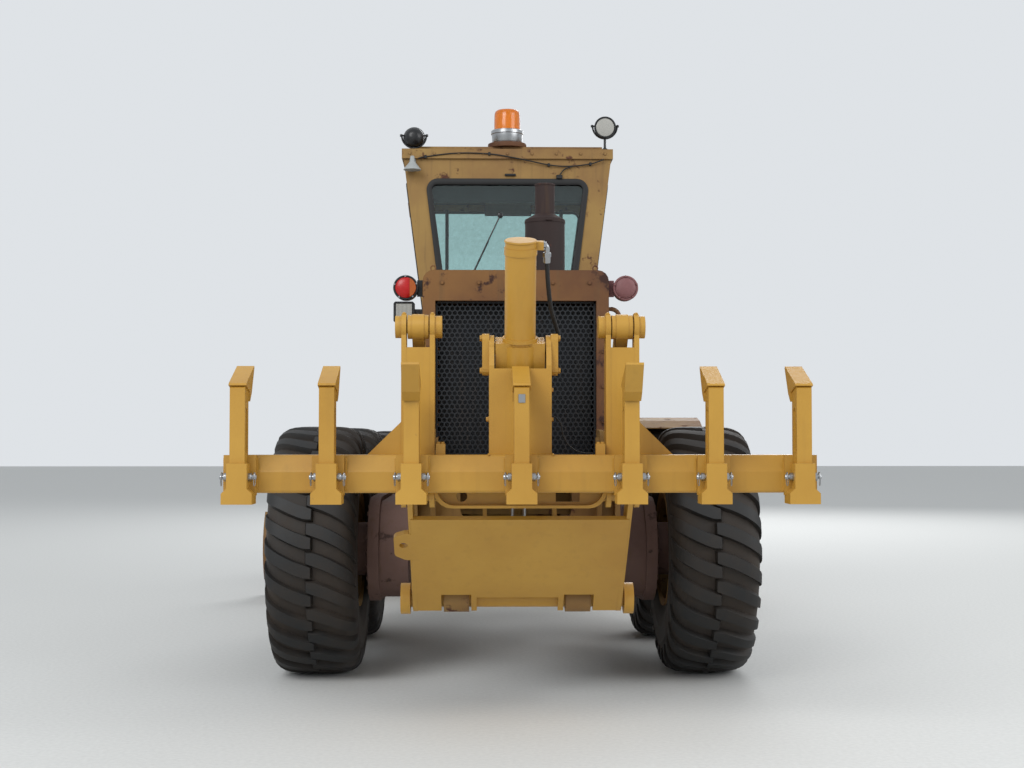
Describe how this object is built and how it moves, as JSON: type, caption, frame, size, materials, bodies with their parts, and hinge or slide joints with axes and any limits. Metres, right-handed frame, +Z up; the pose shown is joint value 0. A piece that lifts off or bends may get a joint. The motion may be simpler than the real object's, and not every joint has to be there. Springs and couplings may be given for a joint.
{
  "type": "motor grader",
  "caption": "Articulated motor grader with a high cab, tandem rear drive, leaning front wheels, a round-driven blade and a rear ripper with stored shanks.",
  "frame": {"origin": "on the ground under the middle of the overall length and width", "axes": "+Y forward, +X to the right-hand side, +Z up"},
  "size_m": [4.27, 10.5737, 3.8],
  "materials": {
    "old_yellow": "weathered ochre yellow enamel, rust-stained",
    "fresh_yellow": "newer ochre yellow enamel, satin",
    "dark_metal": "blue-black enamel, dull",
    "rusty_case": "red-brown primer and dirt",
    "exhaust_brown": "heat-browned steel",
    "tyre": "black rubber with brown dust",
    "bright_steel": "ground and plated steel",
    "window": "blue-green tinted safety glass",
    "seat_black": "black vinyl and plastic",
    "lamp_red": "red lens in a dull housing",
    "beacon_orange": "orange lens",
    "lamp_clear": "clear lens in a black housing"
  },
  "bodies": {
    "rear_body": {"rear_frame": "old_yellow", "drive_axle": "old_yellow", "tandem_cases": "rusty_case", "hood": "old_yellow", "rear_grille": "dark_metal", "engine": "dark_metal", "exhaust": "exhaust_brown", "rear_lamps": "lamp_red"},
    "wheel_rear_left": {"tyre_rear_left": "tyre", "rim_rear_left": "old_yellow"},
    "wheel_rear_right": {"tyre_rear_right": "tyre", "rim_rear_right": "old_yellow"},
    "wheel_mid_left": {"tyre_mid_left": "tyre", "rim_mid_left": "old_yellow"},
    "wheel_mid_right": {"tyre_mid_right": "tyre", "rim_mid_right": "old_yellow"},
    "ripper_lower": {"ripper_lower_link": "fresh_yellow"},
    "ripper_upper": {"ripper_upper_links": "fresh_yellow"},
    "ripper_carriage": {"ripper_carriage": "fresh_yellow", "ripper_shanks": "fresh_yellow"},
    "ripper_barrel": {"ripper_barrel": "fresh_yellow"},
    "ripper_rod": {"ripper_rod": "bright_steel"},
    "front_body": {"front_frame": "old_yellow", "frame_arch": "old_yellow", "frame_beam": "old_yellow", "push_block": "old_yellow", "lift_saddle": "old_yellow", "axle_bolster": "old_yellow", "side_steps": "old_yellow", "cab": "old_yellow", "cab_glass": "window", "seat": "seat_black", "controls": "dark_metal", "cab_lamps": "beacon_orange", "head_lamps": "lamp_clear", "front_axle": "old_yellow"},
    "door_left": {"door_left": "old_yellow", "door_glass_left": "window"},
    "door_right": {"door_right": "old_yellow", "door_glass_right": "window"},
    "lean_left": {"lean_bracket_left": "old_yellow"},
    "lean_right": {"lean_bracket_right": "old_yellow"},
    "lean_bar": {"lean_bar": "old_yellow"},
    "knuckle_left": {"knuckle_left": "old_yellow"},
    "knuckle_right": {"knuckle_right": "old_yellow"},
    "tie_end": {"tie_rod_end": "bright_steel"},
    "tie_rod": {"tie_rod": "old_yellow"},
    "wheel_front_left": {"tyre_front_left": "tyre", "rim_front_left": "old_yellow"},
    "wheel_front_right": {"tyre_front_right": "tyre", "rim_front_right": "old_yellow"},
    "drawbar": {"drawbar": "old_yellow", "drawbar_socket": "old_yellow"},
    "circle": {"circle": "old_yellow"},
    "blade": {"moldboard": "old_yellow", "cutting_edge": "bright_steel"},
    "lift_barrel_left": {"lift_barrel_left": "old_yellow"},
    "lift_barrel_right": {"lift_barrel_right": "old_yellow"},
    "lift_rod_left": {"lift_rod_left": "bright_steel"},
    "lift_rod_right": {"lift_rod_right": "bright_steel"}
  },
  "joints": [
    {"name": "wheel_rear_left_spin", "type": "hinge", "parent": "rear_body", "child": "wheel_rear_left", "pos_m": [-1.16, -2.857, 0.745], "axis": [1, 0, 0], "continuous": true},
    {"name": "wheel_rear_right_spin", "type": "hinge", "parent": "rear_body", "child": "wheel_rear_right", "pos_m": [1.16, -2.857, 0.745], "axis": [1, 0, 0], "continuous": true},
    {"name": "wheel_mid_left_spin", "type": "hinge", "parent": "rear_body", "child": "wheel_mid_left", "pos_m": [-1.16, -1.201, 0.745], "axis": [1, 0, 0], "continuous": true},
    {"name": "wheel_mid_right_spin", "type": "hinge", "parent": "rear_body", "child": "wheel_mid_right", "pos_m": [1.16, -1.201, 0.745], "axis": [1, 0, 0], "continuous": true},
    {"name": "ripper_lift", "type": "hinge", "parent": "rear_body", "child": "ripper_lower", "pos_m": [0, -4.207, 0.587], "axis": [-1, 0, 0], "range_deg": [-66, 0]},
    {"name": "ripper_upper_swing", "type": "hinge", "parent": "rear_body", "child": "ripper_upper", "pos_m": [0, -4.207, 1.392], "axis": [-1, 0, 0], "range_deg": [-67, 1]},
    {"name": "ripper_carriage_swing", "type": "hinge", "parent": "ripper_lower", "child": "ripper_carriage", "pos_m": [0, -4.84684, 1.1511], "axis": [-1, 0, 0], "range_deg": [-1, 67]},
    {"name": "ripper_barrel_swing", "type": "hinge", "parent": "ripper_carriage", "child": "ripper_barrel", "pos_m": [0, -4.79684, 1.86], "axis": [1, 0, 0], "range_deg": [-1, 14.27]},
    {"name": "ripper_rod_slide", "type": "slide", "parent": "ripper_barrel", "child": "ripper_rod", "axis": [0, 0.3197, -0.9475], "range_m": [-0.4024, 0.005]},
    {"name": "articulation", "type": "hinge", "parent": "rear_body", "child": "front_body", "pos_m": [0, -0.507, 1.04], "axis": [0, 0, 1], "range_deg": [-20, 20]},
    {"name": "door_right_swing", "type": "hinge", "parent": "front_body", "child": "door_right", "pos_m": [0.63928, -0.695, 2.475], "axis": [-0.1279, 0, -0.9918], "range_deg": [0, 95]},
    {"name": "door_left_swing", "type": "hinge", "parent": "front_body", "child": "door_left", "pos_m": [-0.63928, -0.695, 2.475], "axis": [-0.1279, 0, 0.9918], "range_deg": [0, 95]},
    {"name": "wheel_lean_left", "type": "hinge", "parent": "front_body", "child": "lean_left", "pos_m": [-0.69, 4.445, 0.6], "axis": [0, 1, 0], "range_deg": [-18, 18]},
    {"name": "wheel_lean_right", "type": "hinge", "parent": "front_body", "child": "lean_right", "pos_m": [0.69, 4.445, 0.6], "axis": [0, 1, 0], "range_deg": [-19, 19]},
    {"name": "lean_bar_level", "type": "hinge", "parent": "lean_left", "child": "lean_bar", "pos_m": [-0.69, 4.445, 0.98], "axis": [0, 1, 0], "range_deg": [-19, 19]},
    {"name": "steer_left", "type": "hinge", "parent": "lean_left", "child": "knuckle_left", "pos_m": [-0.8, 4.445, 0.745], "axis": [0, 0, 1], "range_deg": [-50, 50]},
    {"name": "steer_right", "type": "hinge", "parent": "lean_right", "child": "knuckle_right", "pos_m": [0.8, 4.445, 0.745], "axis": [0, 0, 1], "range_deg": [-51, 51]},
    {"name": "tie_end_turn", "type": "hinge", "parent": "knuckle_left", "child": "tie_end", "pos_m": [-0.8, 4.675, 0.44], "axis": [0, 0, 1], "range_deg": [-51, 51]},
    {"name": "tie_rod_level", "type": "hinge", "parent": "tie_end", "child": "tie_rod", "pos_m": [-0.8, 4.675, 0.44], "axis": [0, 1, 0], "range_deg": [-19, 19]},
    {"name": "wheel_front_left_spin", "type": "hinge", "parent": "knuckle_left", "child": "wheel_front_left", "pos_m": [-1.16, 4.445, 0.745], "axis": [1, 0, 0], "continuous": true},
    {"name": "wheel_front_right_spin", "type": "hinge", "parent": "knuckle_right", "child": "wheel_front_right", "pos_m": [1.16, 4.445, 0.745], "axis": [1, 0, 0], "continuous": true},
    {"name": "blade_lift", "type": "hinge", "parent": "front_body", "child": "drawbar", "pos_m": [0, 4.025, 0.7], "axis": [-1, 0, 0], "range_deg": [-10, 8]},
    {"name": "circle_turn", "type": "hinge", "parent": "drawbar", "child": "circle", "pos_m": [0, 1.579, 0.87], "axis": [0, 0, 1], "continuous": true},
    {"name": "blade_shift", "type": "slide", "parent": "circle", "child": "blade", "axis": [1, 0, 0], "range_m": [-0.6, 0.6]},
    {"name": "lift_barrel_left_swing", "type": "hinge", "parent": "front_body", "child": "lift_barrel_left", "pos_m": [-0.62, 2.319, 2.15], "axis": [1, 0, 0], "range_deg": [-1.65, 1.81]},
    {"name": "lift_rod_left_slide", "type": "slide", "parent": "lift_barrel_left", "child": "lift_rod_left", "axis": [0, -0.2169, -0.9762], "range_m": [-0.2803, 0.3492]},
    {"name": "lift_barrel_right_swing", "type": "hinge", "parent": "front_body", "child": "lift_barrel_right", "pos_m": [0.62, 2.319, 2.15], "axis": [1, 0, 0], "range_deg": [-1.65, 1.81]},
    {"name": "lift_rod_right_slide", "type": "slide", "parent": "lift_barrel_right", "child": "lift_rod_right", "axis": [0, -0.2169, -0.9762], "range_m": [-0.2803, 0.3492]}
  ],
  "couplings": [
    {"joint": "ripper_upper_swing", "follows": "ripper_lift", "ratio": 1},
    {"joint": "ripper_carriage_swing", "follows": "ripper_lift", "ratio": -1},
    {"joint": "ripper_barrel_swing", "follows": "ripper_lift", "ratio": -0.201},
    {"joint": "ripper_rod_slide", "follows": "ripper_lift", "m_per_rad": 0.345},
    {"joint": "wheel_lean_right", "follows": "wheel_lean_left", "ratio": 1},
    {"joint": "lean_bar_level", "follows": "wheel_lean_left", "ratio": -1},
    {"joint": "steer_right", "follows": "steer_left", "ratio": 1},
    {"joint": "tie_end_turn", "follows": "steer_left", "ratio": -1},
    {"joint": "tie_rod_level", "follows": "wheel_lean_left", "ratio": -0.8625},
    {"joint": "lift_barrel_left_swing", "follows": "blade_lift", "ratio": -0.081},
    {"joint": "lift_rod_left_slide", "follows": "blade_lift", "m_per_rad": -1.972},
    {"joint": "lift_barrel_right_swing", "follows": "blade_lift", "ratio": -0.081},
    {"joint": "lift_rod_right_slide", "follows": "blade_lift", "m_per_rad": -1.972}
  ]
}
